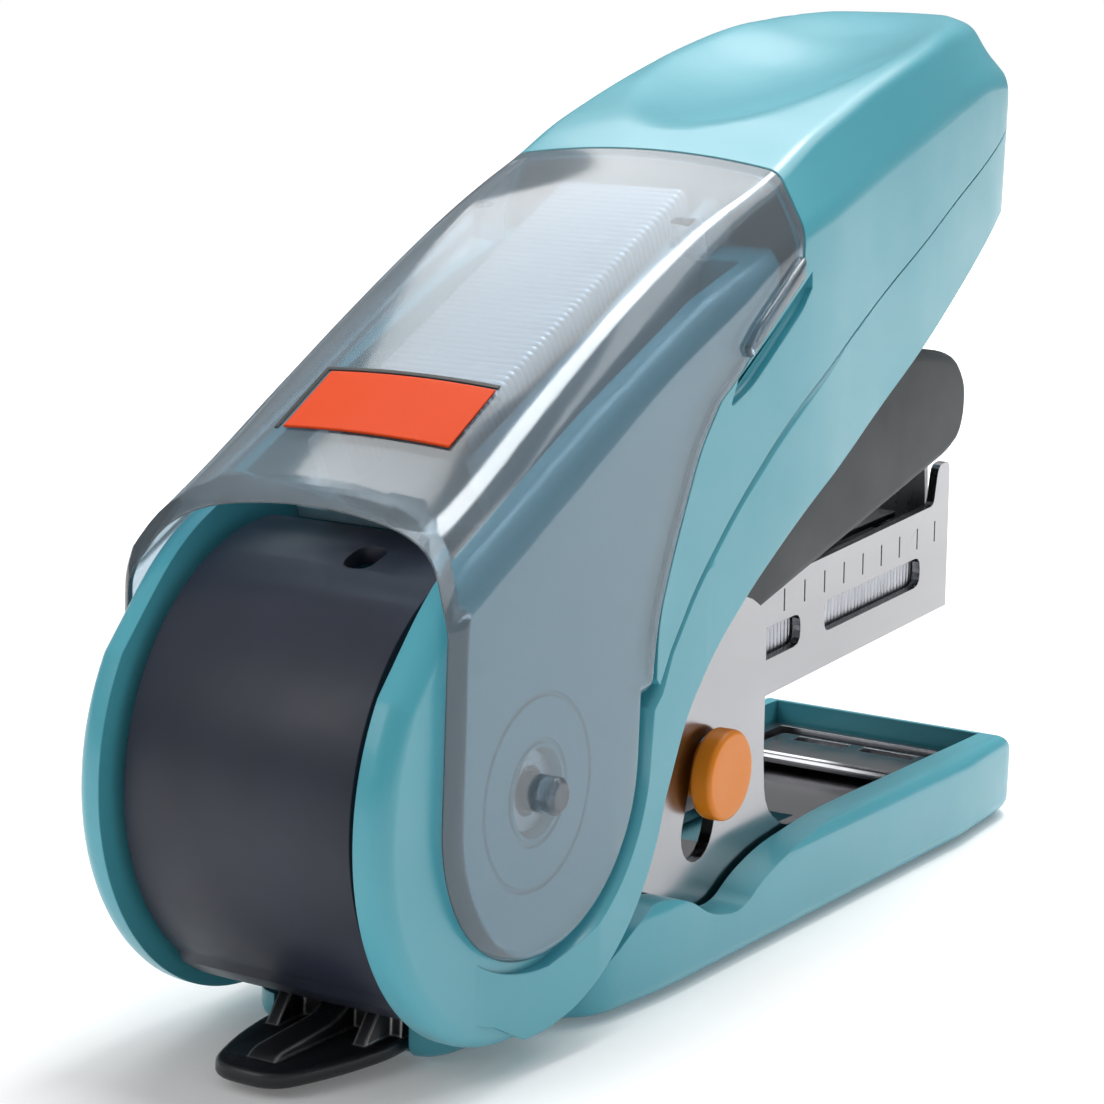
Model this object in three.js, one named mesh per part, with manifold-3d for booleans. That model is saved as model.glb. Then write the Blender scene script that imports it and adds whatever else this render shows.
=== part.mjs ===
// Compact hand stapler with a light-touch handle, a refill bay under a clear lid and a staple remover.
// Millimetres. +X points to the mouth, +Y to the left, +Z up. The origin is on the desk, straight below
// the rear axle that the handle, the driver arm and the magazine all turn about.
import * as THREE from "three";
import { mergeVertices } from "three/addons/utils/BufferGeometryUtils.js";
import Module from "manifold-3d";

const wasm = await Module();
wasm.setup();

// Driving dimensions
const HUB_Z = 15.7; // height of the rear axle above the desk
const GAP = 0.3; // clearance between neighbouring pieces
const CHEEK_R = 14; // round handle cheeks at the rear
const FULL_HALF = 11; // half of the handle's full width
const CHEEK_IN = 8.1;
const CHEEK_OUT = 9.8;
const SKIN = 1.1; // wall of the upper handle shell
const LID_WALL = 0.8; // wall of the clear lid
const STRIP_WALL = 1.8; // wall of the lower handle strip
const AXLE_R = 2.2;
const SEAM = 0.15; // half of the gap along a part line
const LID_PIN_R = 1.05;
const SHIELD_R = 13.0; // rear shield, between the cheeks
const SHIELD_WALL = 0.9;
const SHIELD_HALF = 7.3; // half of its width
const BASE_FRONT = 69.9;
const PLATE_IN = 7.0; // steel base frame, side plates
const PLATE_OUT = 7.8;
const ARM_HALF = 6.5; // driver arm, half width
const ARM_IN = 5.6;
const MAG_HALF = 5.2; // magazine, half width
const MAG_WALL = 0.6;
const MAG_TILT = 3.6; // degrees, nose up at rest
const STAPLE_PITCH = 0.52;
const STAPLES = 50;
const CROWN_HALF = 4.4; // half of the staple's crown width
const STAPLE_WIRE = 0.45;
const ROD_W = -1.7; // guide rod and its spring, below the axle's level in the magazine's frame
const BAY_TILT = 26.7; // degrees, slope of the spare strip
const LINK_R = 24.26; // link pin, distance from the axle
const LINK_DEG = -9.6; // its angle below the axle's level at rest
const LINK_TRAVEL = 7.6; // degrees it moves in the frame's slot
const KNOB_R = 2.8;
// The link pin seen from the magazine's own frame.
const LINK_LOCAL = [
  LINK_R * Math.cos(((LINK_DEG - MAG_TILT) * Math.PI) / 180),
  LINK_R * Math.sin(((LINK_DEG - MAG_TILT) * Math.PI) / 180),
];
const SIDES = { left: 1, right: -1 };

// ---- geometry helpers ----

const radians = THREE.MathUtils.degToRad;

function solid(geometry) {
  const bare = geometry.index ? geometry.toNonIndexed() : geometry.clone();
  bare.deleteAttribute("normal");
  bare.deleteAttribute("uv");
  const merged = mergeVertices(bare, 1e-4);
  const vertProperties = merged.attributes.position.array;
  const triVerts = new Uint32Array(merged.index.array);
  return new wasm.Manifold(new wasm.Mesh({ numProp: 3, vertProperties, triVerts }));
}

function geometryOf(body) {
  const mesh = body.getMesh();
  const positions = new THREE.BufferAttribute(mesh.vertProperties, 3);
  const geometry = new THREE.BufferGeometry().setAttribute("position", positions);
  geometry.setIndex(new THREE.BufferAttribute(mesh.triVerts, 1));
  return geometry;
}

// A point on a circle about the axle, as [x, z]; angles from +X towards +Z.
function polar(radius, degrees, centre = [0, HUB_Z]) {
  const a = radians(degrees);
  return [centre[0] + radius * Math.cos(a), centre[1] + radius * Math.sin(a)];
}

function arc(radius, from, to, steps, centre) {
  const points = [];
  for (let i = 0; i <= steps; i++) {
    points.push(polar(radius, from + ((to - from) * i) / steps, centre));
  }
  return points;
}

// A closed outline. A third number on a point rounds that corner.
function outline(points) {
  const shape = new THREE.Shape();
  points.forEach(([x, z, r], i) => {
    const here = new THREE.Vector2(x, z);
    if (!r) {
      if (i === 0) shape.moveTo(x, z);
      else shape.lineTo(x, z);
      return;
    }
    const before = new THREE.Vector2(...points.at(i - 1)).sub(here).setLength(r).add(here);
    const after = new THREE.Vector2(...points[(i + 1) % points.length]).sub(here).setLength(r).add(here);
    if (i === 0) shape.moveTo(before.x, before.y);
    else shape.lineTo(before.x, before.y);
    shape.quadraticCurveTo(x, z, after.x, after.y);
  });
  return shape;
}

function bar(shape, low, high, bevel, curveSegments) {
  return new THREE.ExtrudeGeometry(shape, {
    depth: high - low - 2 * bevel,
    bevelEnabled: bevel > 0,
    bevelSize: bevel,
    bevelOffset: -bevel,
    bevelThickness: bevel,
    bevelSegments: 2,
    curveSegments,
  });
}

// An outline in the XZ plane, made solid from y = low to y = high.
function across(points, low, high, bevel = 0, curveSegments = 3) {
  const geometry = bar(outline(points), low, high, bevel, curveSegments);
  return solid(geometry.rotateX(Math.PI / 2).translate(0, high - bevel, 0));
}

// The same piece on both sides, from |y| = low to |y| = high.
function both(points, low, high) {
  return across(points, low, high).add(across(points, -high, -low));
}

// An outline in the XY plane, made solid from z = low to z = high.
function upright(points, low, high, bevel = 0, curveSegments = 4) {
  return solid(bar(outline(points), low, high, bevel, curveSegments).translate(0, 0, low + bevel));
}

function block(x0, x1, y0, y1, z0, z1) {
  const geometry = new THREE.BoxGeometry(x1 - x0, y1 - y0, z1 - z0);
  return solid(geometry.translate((x0 + x1) / 2, (y0 + y1) / 2, (z0 + z1) / 2));
}

function rod(radius, y0, y1, x = 0, z = HUB_Z, segments = 24) {
  const geometry = new THREE.CylinderGeometry(radius, radius, y1 - y0, segments);
  return solid(geometry.translate(x, (y0 + y1) / 2, z));
}

// A round bar that turns its ends towards its own axis, lying along Y.
function turned(profile, x, z, side, segments = 28) {
  const points = profile.map(([r, y]) => new THREE.Vector2(r, y));
  const geometry = new THREE.LatheGeometry(points, segments);
  if (side < 0) geometry.rotateZ(Math.PI);
  return solid(geometry.translate(x, 0, z));
}

// A bar along X.
function along(radius, x0, x1, z, segments = 12) {
  const geometry = new THREE.CylinderGeometry(radius, radius, x1 - x0, segments);
  return solid(geometry.rotateZ(Math.PI / 2).translate((x0 + x1) / 2, 0, z));
}

function piece(group, name, body, look) {
  const material = new THREE.MeshStandardMaterial(look);
  const mesh = new THREE.Mesh(geometryOf(body), material);
  mesh.name = name;
  group.add(mesh);
}

const BLUE = { color: 0x86c7d6, roughness: 0.32, metalness: 0 };
const NICKEL = { color: 0xc9c7cc, roughness: 0.18, metalness: 1 };
const STEEL = { color: 0xb4b6ba, roughness: 0.3, metalness: 1 };
const BLACK = { color: 0x14161c, roughness: 0.4, metalness: 0 };
const DARK_GREY = { color: 0x35383b, roughness: 0.75, metalness: 0 };
const ORANGE = { color: 0xe08a22, roughness: 0.35, metalness: 0 };
const LABEL = { color: 0xe8521f, roughness: 0.5, metalness: 0 };
const SMOKED = { color: 0x9fb0ba, roughness: 0.08, metalness: 0, transparent: true, opacity: 0.35 };
const FROSTED = { color: 0xbfd0d6, roughness: 0.4, metalness: 0 };
const RUBBER = { color: 0x26282b, roughness: 0.9, metalness: 0 };

// ---- handle and lid: one lofted form, cut into its pieces ----

// Sections across the handle, from the rear to the nose: x, half width, height of the shoulder edge,
// half width and height of the top edge, crown height, depth of the thumb hollow.
const SECTIONS = [
  [-12, 11, 24.6, 8.6, 28.4, 29.3, 0],
  [-9.2, 11, 26.4, 8.6, 29.8, 30.6, 0],
  [-4, 11, 29.2, 8.6, 32.5, 33.0, 0],
  [3, 11, 32.9, 8.7, 36.5, 37.0, 0],
  [12, 11, 37.6, 8.8, 41.4, 41.9, 0],
  [20, 11.05, 41.1, 8.9, 45.1, 45.7, 0],
  [27, 11.1, 44.3, 9.1, 47.7, 48.5, 0],
  [31, 11.0, 45.4, 9.1, 49.5, 50.3, 0.3],
  [35, 10.7, 46.5, 9.1, 50.9, 51.7, 1.2],
  [40, 10.3, 47.9, 9.0, 52.5, 53.4, 2.2],
  [47, 9.9, 49.9, 8.8, 54.4, 55.5, 2.7],
  [54, 9.2, 51.7, 7.9, 55.9, 57.1, 2.1],
  [60, 8.4, 52.9, 6.5, 56.4, 57.6, 1.0],
  [64, 7.6, 53.0, 4.9, 55.7, 56.9, 0.2],
  [67, 6.5, 51.6, 3.7, 53.7, 54.8, 0],
  [69.2, 5.1, 49.6, 2.8, 51.2, 52.1, 0],
  [70.4, 3.4, 48.0, 1.8, 49.0, 49.6, 0],
];
const LOFT_BOTTOM = -2;
const HOLLOW_HALF = 7.7;
const HALF_STEPS = 16; // points on half a section, less one

const between = (a, b, t) => a + (b - a) * t;

// A point of a rounded corner at c, coming from a and leaving to b.
function corner(a, c, b, t) {
  const y = between(between(a[0], c[0], t), between(c[0], b[0], t), t);
  const z = between(between(a[1], c[1], t), between(c[1], b[1], t), t);
  return [y, z];
}

// Half a section as points from the crown to the middle of the underside.
function halfSection(section, inset) {
  const [, halfWidth, shoulder, edgeHalf, edge, crown, hollow] = section;
  const wide = Math.max(halfWidth - inset, 0.6);
  const top = Math.max(edgeHalf - 0.6 * inset, 0.4);
  const topZ = edge - inset;
  const low = shoulder - 0.4 * inset;
  const rise = crown - inset - topZ;
  const arch = (y) => {
    const dip = y < HOLLOW_HALF ? hollow * (1 - (y / HOLLOW_HALF) ** 2) ** 2 : 0;
    return topZ + rise * (1 - (y / top) ** 2) - dip;
  };
  const start = top * 0.86;
  const ease = Math.min(1.1, wide * 0.25);
  const slope = Math.hypot(wide - top, topZ - low);
  const along = (d) => [top + ((wide - top) * d) / slope, topZ + ((low - topZ) * d) / slope];
  const points = [];
  for (let i = 0; i <= 6; i++) points.push([(start * i) / 6, arch((start * i) / 6)]);
  const leave = along(Math.min(ease, slope * 0.3));
  for (const t of [0.33, 0.67, 1]) points.push(corner([start, arch(start)], [top, topZ], leave, t));
  const arrive = along(slope - Math.min(ease, slope * 0.3));
  points.push(arrive);
  for (const t of [0.33, 0.67, 1]) points.push(corner(arrive, [wide, low], [wide, low - ease], t));
  points.push([wide, LOFT_BOTTOM], [wide / 2, LOFT_BOTTOM], [0, LOFT_BOTTOM]);
  return points;
}

// The whole form shrunk by inset, as a solid: a cylinder's grid, laid over the sections.
function loft(inset) {
  const around = 2 * HALF_STEPS;
  const rows = SECTIONS.length - 1;
  const halves = SECTIONS.map((section) => halfSection(section, inset));
  const geometry = new THREE.CylinderGeometry(1, 1, 1, around, rows);
  const position = geometry.attributes.position;
  for (let i = 0; i < position.count; i++) {
    const row = Math.round((0.5 - position.getY(i)) * rows);
    const turn = Math.atan2(position.getX(i), position.getZ(i)) / Math.PI;
    const middle = Math.hypot(position.getX(i), position.getZ(i)) < 0.5;
    const [y, z] = halves[row][Math.round(Math.abs(turn) * HALF_STEPS)];
    let x = SECTIONS[row][0];
    if (inset > 0 && row === 0) x -= 2;
    if (inset > 0 && x > 60) x -= (inset * (x - 60)) / 10.4;
    if (middle) position.setXYZ(i, x, 0, SECTIONS[row][2] - 8);
    else position.setXYZ(i, x, Math.sign(turn) * y, z);
  }
  return solid(geometry);
}

// The part line between the lid and the shell, from the top seam down to the bowl, seen from the side.
const LID_FRONT = [
  [27.0, 60],
  [27.0, 41.5],
  [21.7, 38.0],
  [19.6, 36.4, 0.8],
  [17.5, 35.1],
  [15.3, 32.5, 1.2],
  [12.6, 26.7, 1.5],
  [11.3, 23.3, 1.5],
];
// The part line between the upper shell and the lower strip, from the cheek to the nose.
const PART_LINE = [
  [12.9, 21.4],
  [15.6, 24.8],
  [19.9, 28.7],
  [26.0, 33.2],
  [34.2, 37.2],
  [42.7, 40.9],
  [52.2, 44.9],
  [64.2, 49.1],
  [75, 52.4],
];
// The lower edge of the handle, from the nose back to the cheek.
const LOWER_EDGE = [
  [75, 44.0],
  [64.5, 43.7],
  [59.7, 41.6],
  [54.5, 39.2],
  [47.8, 35.9],
  [38.1, 31.4],
  [28.8, 26.9],
  [22.8, 23.4],
  [18.4, 20.3],
  [15.4, 17.0],
  [13.4, 13.4],
];

const shifted = (points, dx, dz) => points.map(([x, z, r]) => [x + dx, z + dz, r]);

// The lid's round lower end: an arc about the axle, a little flattened and set forward.
function bowlArc(grow, from, to, steps) {
  return arc(9.85 + grow, from, to, steps).map(([x, z]) => [x + 0.65, HUB_Z + 0.954 * (z - HUB_Z)]);
}

function lid() {
  const bowl = bowlArc(0, 0, -180, 18);
  const rear = [
    [-9.2, 26.0, 1],
    [-8.3, 28.4],
    [-7.3, 30.4],
    [-6.2, 31.8],
    [-5.2, 32.6],
    [-5.2, 60],
  ];
  const side = across([...shifted(LID_FRONT, -SEAM, 0), ...bowl, ...rear], -12, 12, 0, 3);
  const shell = loft(0).intersect(side).subtract(loft(LID_WALL));
  return shell.subtract(rod(LID_PIN_R + GAP, -12, 12));
}

function lidPin(side) {
  const profile = [
    [0, 7.4],
    [LID_PIN_R, 7.4],
    [LID_PIN_R, 11.6],
    [0.8, 11.85],
    [0, 11.85],
  ];
  return turned(profile, 0, HUB_Z, side, 20);
}

// A thin label that follows the lid's crown.
function lidLabel() {
  const skin = loft(-0.45).subtract(loft(-0.25));
  return block(-2.4, 2.6, -5.4, 5.8, 28, 45).intersect(skin);
}

function upperShell() {
  const tip = [
    [11.4, 20.2],
    [11.8, 19.6],
  ];
  const edge = [[75, 60], ...shifted(LID_FRONT, SEAM, 0), ...tip, ...shifted(PART_LINE, 0, SEAM)];
  const side = across(edge, -12, 12);
  const rib = block(34, 35.2, -9, 9, 40.5, 49);
  return loft(0).intersect(side).subtract(loft(SKIN)).add(rib.intersect(loft(0.4)));
}

function handleFrame() {
  // Round cheeks that run up beside the refill bay.
  const wall = [
    ...arc(CHEEK_R, 150, 377, 40),
    [18.5, 26],
    [26.2, 36],
    [26.2, 43.0],
    [18, 40.4],
    [6, 34.9],
    [-3, 30.2],
    [-7.5, 27.9],
  ];
  const inside = block(-20, 40, -CHEEK_IN, CHEEK_IN, -5, 60);
  const cheeks = across(wall, -CHEEK_OUT, CHEEK_OUT, 1.1).subtract(inside);
  // A band round the lid's bowl, level with the lid in front and sinking towards the rear.
  const rim = arc(CHEEK_R - 0.4, -128, -12, 16);
  const ring = [[13, 18.2], [11.0, 18.2], ...bowlArc(0.4, 0, -125, 18), ...rim];
  const sink = [
    [30, -FULL_HALF],
    [4, -FULL_HALF],
    [-5.5, -CHEEK_OUT],
    [-5.5, CHEEK_OUT],
    [4, FULL_HALF],
    [30, FULL_HALF],
  ];
  const band = across(ring, -FULL_HALF, FULL_HALF, 0.8).intersect(upright(sink, -5, 40));
  // The long strip under the part line, round the nose.
  const foot = [
    [12.0, 19.0],
    [10.95, 18.4],
    [11.0, 13.6],
  ];
  const strip = [...foot, ...[...LOWER_EDGE].reverse(), ...shifted(PART_LINE, 0, -SEAM).reverse()];
  const skirt = loft(0).intersect(across(strip, -12, 12)).subtract(loft(STRIP_WALL));
  // The sloping bridge that joins both sides above the driver arm.
  const slope = [
    [24, 29.6],
    [62, 46.0],
    [62, 47.4],
    [24, 31.0],
  ];
  const bridge = across(slope, -11, 11).intersect(loft(1.8));
  const bore = rod(AXLE_R + GAP, -12, 12);
  return cheeks.add(band.subtract(inside)).add(skirt).add(bridge).subtract(bore);
}

// ---- base ----

function baseShell() {
  const plan = [
    [-3, -6.2, 2.4],
    [7, -7.6],
    [8, -9.6],
    [16, -10.4],
    [58, -10.5],
    [BASE_FRONT, -9.6, 4],
    [BASE_FRONT, 9.6, 4],
    [58, 10.5],
    [16, 10.4],
    [8, 9.6],
    [7, 7.6],
    [-3, 6.2, 2.4],
  ];
  const slab = upright(plan, 0.3, 6.3, 0.9, 5);
  // The side walls start behind the cheeks, dip below the link knobs and run level to the front.
  const wallTop = [
    ...arc(15.4, -88, -52, 6),
    [12, 5.2],
    [14.4, 6.1, 1],
    [17.4, 5.7, 1.5],
    [20.6, 3.9, 1.5],
    [24.4, 3.2, 2],
    [27, 4.6, 1.5],
    [30.5, 5.6, 2],
    [38, 6.3],
    [66.4, 6.3, 1],
    [BASE_FRONT + 0.1, 1.4],
    [BASE_FRONT + 0.1, 0],
    [0.6, 0],
  ];
  const walls = across(wallTop, -12, 12);
  const tail = block(-4, 16, -7.6, 7.6, 0, 2.4);
  const bowl = block(-5, 64.9, -8.1, 8.1, 2.3, 9);
  const notch = block(-5, -1.6, -4.5, 4.5, 0, 3);
  const recess = upright(padPlan(GAP), -1, 1.3, 0, 4);
  return slab.intersect(walls.add(tail)).subtract(bowl).subtract(notch).subtract(recess);
}

// The soft pad under the base and the recess that holds it, grown by a clearance.
function padPlan(grow) {
  return [
    [-0.6 - grow, -4.6 - grow, 1.5],
    [8, -6.2 - grow],
    [63 + grow, -8.2 - grow, 3],
    [63 + grow, 8.2 + grow, 3],
    [8, 6.2 + grow],
    [-0.6 - grow, 4.6 + grow, 1.5],
  ];
}

function baseFrame() {
  const plate = [
    [6.2, 2.6],
    ...arc(11.7, -62, -320, 20),
    [14, 23.2],
    [28.6, 21.8, 1.1],
    [31.0, 20.4, 1.3],
    [31.5, 11],
    [32.0, 7.6, 1.5],
    [34.8, 5.9, 1],
    [51, 5.6, 0.6],
    [52, 2.6],
  ];
  const plates = both(plate, PLATE_IN, PLATE_OUT);
  const web = block(4, 64.4, -PLATE_OUT, PLATE_OUT, 2.6, 3.4);
  const tray = block(50, 63.6, -PLATE_IN, PLATE_IN, 2, 5);
  const lip = block(51, 64.4, -PLATE_OUT, PLATE_OUT, 2.6, 4.8).subtract(tray);
  const window = block(36, 46, -3.2, 3.2, 2, 4);
  // Arc slots, centred on the axle, that the link pin's necks run in.
  const top = LINK_DEG + 0.8;
  const end = LINK_DEG - LINK_TRAVEL - 0.8;
  const tip = polar(LINK_R, end);
  const head = polar(LINK_R, top);
  const slot = [...arc(LINK_R - 2, top, end, 3), ...arc(LINK_R + 2, end, top, 3)];
  const opening = across(slot, -9, 9).add(rod(2, -9, 9, ...tip, 20)).add(rod(2, -9, 9, ...head, 20));
  const bore = rod(AXLE_R + 0.15, -9, 9);
  return plates.add(web).add(lip).subtract(window).subtract(opening).subtract(bore);
}

function anvil() {
  const plan = [
    [56.4, -6.6, 0.8],
    [62.8, -6.6, 0.8],
    [62.8, 6.6, 0.8],
    [56.4, 6.6, 0.8],
  ];
  const body = upright(plan, 3.7, 4.6, 0.4, 3);
  const groove = (y0, y1) => block(60.9, 62.1, y0, y1, 4.2, 7);
  return body.subtract(groove(0.6, 4.7)).subtract(groove(-4.7, -0.6));
}

function rearShield() {
  const ring = [...arc(SHIELD_R, 91, 250, 32), ...arc(SHIELD_R - SHIELD_WALL, 250, 91, 32)];
  const body = across(ring, -SHIELD_HALF, SHIELD_HALF);
  const window = block(-5.4, -3.0, -2.7, -0.8, 25, 32);
  // A moulded step across the shield near its lower lip.
  const step = across([...arc(SHIELD_R + 0.1, 222, 236, 3), ...arc(SHIELD_R - 0.2, 236, 222, 3)], -8, 8);
  return body.subtract(window).subtract(step);
}

function stapleRemover() {
  const tongue = [
    [-2.0, -4.1],
    [-2.0, 4.1],
    [-4.4, 4.2, 1],
    [-8.2, 3.5, 1],
    [-12.0, 2.1, 1.4],
    [-12.0, -2.1, 1.4],
    [-8.2, -3.5, 1],
    [-4.4, -4.2, 1],
  ];
  const blade = upright(tongue, 0.6, 1.5);
  const neck = block(-2.9, -2.0, -4.0, 4.0, 1.2, 5.2);
  const seat = block(-2.9, 2.4, -4.0, 4.0, 4.4, 5.2);
  const ridge = [
    [-11, 1.2],
    [-4.2, 1.2],
    [-2.4, 1.2],
    [-2.4, 3.4],
    [-4, 2.1],
    [-10, 1.8, 0.6],
  ];
  const rib = across(ridge, -0.7, 0.7);
  return blade.add(neck).add(seat).add(rib);
}

// ---- magazine, in its own frame: axle at the origin, u forward, w up ----

function sideWindow(u0, u1) {
  const round = [
    [u0, -1.9, 0.7],
    [u1, -1.9, 0.9],
    [u1, 0.2, 0.9],
    [u0, 0.2, 0.7],
  ];
  return across(round, -9, 9);
}

function magazineChannel() {
  const side = [
    ...arc(5, 12, 270, 14, [0, 0]),
    [20.6, -4.3],
    ...arc(2.6, 190, 350, 8, LINK_LOCAL),
    [26.8, -4.3],
    [64.2, -4.3],
    [64.2, 6.3, 0.7],
    [62.3, 6.3, 0.7],
    [61.6, 3.5, 0.5],
    [20, 2.9],
    [9, 0.8],
  ];
  const walls = both(side, MAG_HALF - MAG_WALL, MAG_HALF);
  const floor = block(7, 61.6, -MAG_HALF, MAG_HALF, -4.3, -3.7);
  const front = block(63.5, 64.2, -MAG_HALF, MAG_HALF, -4.3, 2.6);
  const windows = sideWindow(44.6, 59.6).add(sideWindow(30.2, 41.1));
  let body = walls.add(floor).add(front).subtract(windows);
  // Count marks: short grooves pressed into both sides.
  for (let i = 0; i < 9; i++) {
    const u = 38.7 + 2.9 * i;
    body = body.subtract(block(u - 0.1, u + 0.1, MAG_HALF - 0.12, MAG_HALF + 1, 0.85, 2.3));
    body = body.subtract(block(u - 0.1, u + 0.1, -MAG_HALF - 1, 0.12 - MAG_HALF, 0.85, 2.3));
  }
  const bore = rod(AXLE_R + GAP, -9, 9, 0, 0);
  const linkBore = rod(1.2, -9, 9, ...LINK_LOCAL);
  return body.subtract(bore).subtract(linkBore);
}

function stapleRail() {
  const half = 3.6;
  const outer = block(10, 61.4, -half, half, -3.4, 0.5);
  const hollow = block(10.8, 60.6, 0.5 - half, half - 0.5, -5, 0);
  const slot = block(12, 35.8, -0.9, 0.9, -1, 2);
  return outer.subtract(hollow).subtract(slot);
}

// A strip of staples: a ridged crown with two legs. u from back to front, w down from the top.
function strip(front, top, legs) {
  const back = front - STAPLES * STAPLE_PITCH;
  const points = [];
  for (let i = 0; i < STAPLES; i++) {
    const u = back + i * STAPLE_PITCH;
    points.push([u + 0.04, top - 0.12], [u + STAPLE_PITCH / 2, top]);
  }
  points.push([front, top - 0.12], [front, top - legs], [back + 0.04, top - legs]);
  const inner = CROWN_HALF - STAPLE_WIRE;
  const room = block(back - 1, front + 1, -inner, inner, top - legs - 1, top - STAPLE_WIRE - 0.05);
  return across(points, -CROWN_HALF, CROWN_HALF).subtract(room);
}

// The tray the spare strip lies in: a floor and two walls.
function refillBay() {
  const floor = block(-27.4, 1.4, -7.6, 7.6, -6.1, -5.4);
  const walls = block(-27.4, 1.4, -5.5, 5.5, -5.6, -1.2).subtract(block(-30, 3, -4.8, 4.8, -5.3, 0));
  return floor.add(walls);
}

function staplePusher() {
  const saddle = block(29.4, 35.6, -4.3, 4.3, -3.0, 1.7).subtract(block(29, 36, -3.95, 3.95, -4, 0.85));
  const stop = block(29.4, 30.6, -2.3, 2.3, -2.9, -0.4).subtract(along(0.9, 28, 32, ROD_W));
  const neck = block(29.4, 33, -0.6, 0.6, -0.8, 1.2);
  const hump = [
    [30.4, 1.4],
    [31.6, 2.4, 0.3],
    [34.2, 2.4, 0.3],
    [35.4, 1.4],
  ];
  const grip = across(hump, -2.4, 2.4);
  return saddle.add(stop).add(neck).add(grip);
}

// A wire along a curve, with closed ends.
function wire(curve, radius, steps, sides = 6) {
  const shape = new THREE.Shape();
  for (let i = 0; i < sides; i++) {
    const a = (2 * Math.PI * i) / sides;
    if (i === 0) shape.moveTo(radius * Math.cos(a), radius * Math.sin(a));
    else shape.lineTo(radius * Math.cos(a), radius * Math.sin(a));
  }
  return solid(new THREE.ExtrudeGeometry(shape, { extrudePath: curve, steps, bevelEnabled: false }));
}

function helix(radius, from, to, turns, place) {
  const points = [];
  for (let i = 0; i <= turns * 10; i++) {
    const t = i / (turns * 10);
    const a = 2 * Math.PI * turns * t;
    points.push(place(from + (to - from) * t, radius * Math.cos(a), radius * Math.sin(a)));
  }
  return new THREE.CatmullRomCurve3(points);
}

function pusherSpring() {
  const curve = helix(1.5, 12.4, 28.9, 9, (s, a, b) => new THREE.Vector3(s, a, b + ROD_W));
  return wire(curve, 0.22, 90);
}

function returnSpring() {
  const curve = helix(3.1, -2.6, 2.6, 6, (s, a, b) => new THREE.Vector3(a, s, HUB_Z + b));
  return wire(curve, 0.3, 66);
}

function linkKnob(side) {
  const [x, z] = polar(LINK_R, LINK_DEG);
  const profile = [
    [0, 8.5],
    [1.2, 8.5],
    [1.2, 6.6],
    [1.7, 6.6],
    [1.7, 8.15],
    [2.5, 8.15],
    [KNOB_R, 8.4],
    [KNOB_R, 9.25],
    [2.5, 9.55],
    [0, 9.55],
  ];
  return turned(profile, x, z, side, 32);
}

// ---- driver arm ----

function driverArm() {
  const side = [
    ...arc(4.2, 110, 268, 8),
    [33.8, 20.2],
    [60.6, 26.9, 0.8],
    [62.5, 27.7, 0.8],
    [63.2, 29.3],
    [63.1, 31.8, 0.8],
    [61.6, 33.6, 1.2],
    [59, 34.2],
    [53.6, 34.8, 2],
    [46.5, 34.2, 3],
    [30, 27.7],
  ];
  const body = across(side, -ARM_HALF, ARM_HALF, 0.7);
  const room = [
    [-6, 8],
    [70, 8],
    [70, 37],
    [61.6, 37],
    [61.6, 32.2],
    [53.8, 33.2],
    [47.2, 32.8, 2],
    [30.6, 26.2],
    [8, 17.9],
    [6, 26],
    [-6, 26],
  ];
  const bore = rod(AXLE_R + GAP, -9, 9);
  return body.subtract(across(room, -ARM_IN, ARM_IN)).subtract(bore);
}

function driverBlade() {
  const profile = [
    ...arc(62.9, 5.2, 14.6, 6),
    [60.9, 31.9],
    [55, 32.6],
    [55, 32.1],
    [60.4, 31.4],
    ...arc(62.4, 13.9, 5.2, 6),
  ];
  return across(profile, -4.2, 4.2);
}

// ---- assembly ----

const stapler = new THREE.Group();
stapler.name = "hand_stapler";

const base = new THREE.Group();
stapler.add(base);
piece(base, "base_shell", baseShell(), BLUE);
piece(base, "base_pad", upright(padPlan(0), 0, 1.0), RUBBER);
piece(base, "base_frame", baseFrame(), NICKEL);
piece(base, "anvil", anvil(), STEEL);
piece(base, "hub_axle", rod(AXLE_R, -9.3, 9.3, 0, HUB_Z, 32).subtract(rod(1.4, -12, 12)), STEEL);
piece(base, "return_spring", returnSpring(), STEEL);
piece(base, "rear_shield", rearShield(), BLACK);
piece(base, "staple_remover", stapleRemover(), BLACK);

const handle = new THREE.Group();
stapler.add(handle);
piece(handle, "handle_frame", handleFrame(), BLUE);
piece(handle, "handle_shell", upperShell(), BLUE);

// The refill bay, in its own frame: origin at the front top edge of the spare strip.
const bay = new THREE.Group();
bay.position.set(24.5, 0, 45.9);
bay.rotation.y = -radians(BAY_TILT);
handle.add(bay);
piece(bay, "refill_strip", strip(0, 0, 5), NICKEL);
piece(bay, "refill_bay", refillBay(), FROSTED);

const cover = new THREE.Group();
handle.add(cover);
piece(cover, "lid", lid(), SMOKED);
for (const [name, side] of Object.entries(SIDES)) {
  piece(cover, "lid_pin_" + name, lidPin(side), SMOKED);
}
piece(cover, "lid_label", lidLabel(), LABEL);

const arm = new THREE.Group();
stapler.add(arm);
piece(arm, "driver_arm", driverArm(), DARK_GREY);
piece(arm, "driver_blade", driverBlade(), STEEL);

const magazine = new THREE.Group();
magazine.position.set(0, 0, HUB_Z);
magazine.rotation.y = -radians(MAG_TILT);
stapler.add(magazine);
piece(magazine, "magazine_channel", magazineChannel(), NICKEL);
piece(magazine, "staple_rail", stapleRail(), STEEL);
piece(magazine, "staple_strip", strip(61.9, 1.3, 4.7), NICKEL);
piece(magazine, "staple_cover_leaf", block(38, 58, -3.9, 3.9, 3.2, 3.6), NICKEL);
piece(magazine, "guide_rod", along(0.6, 12, 60, ROD_W, 10), STEEL);
piece(magazine, "staple_pusher", staplePusher(), BLACK);
piece(magazine, "pusher_spring", pusherSpring(), STEEL);

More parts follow.
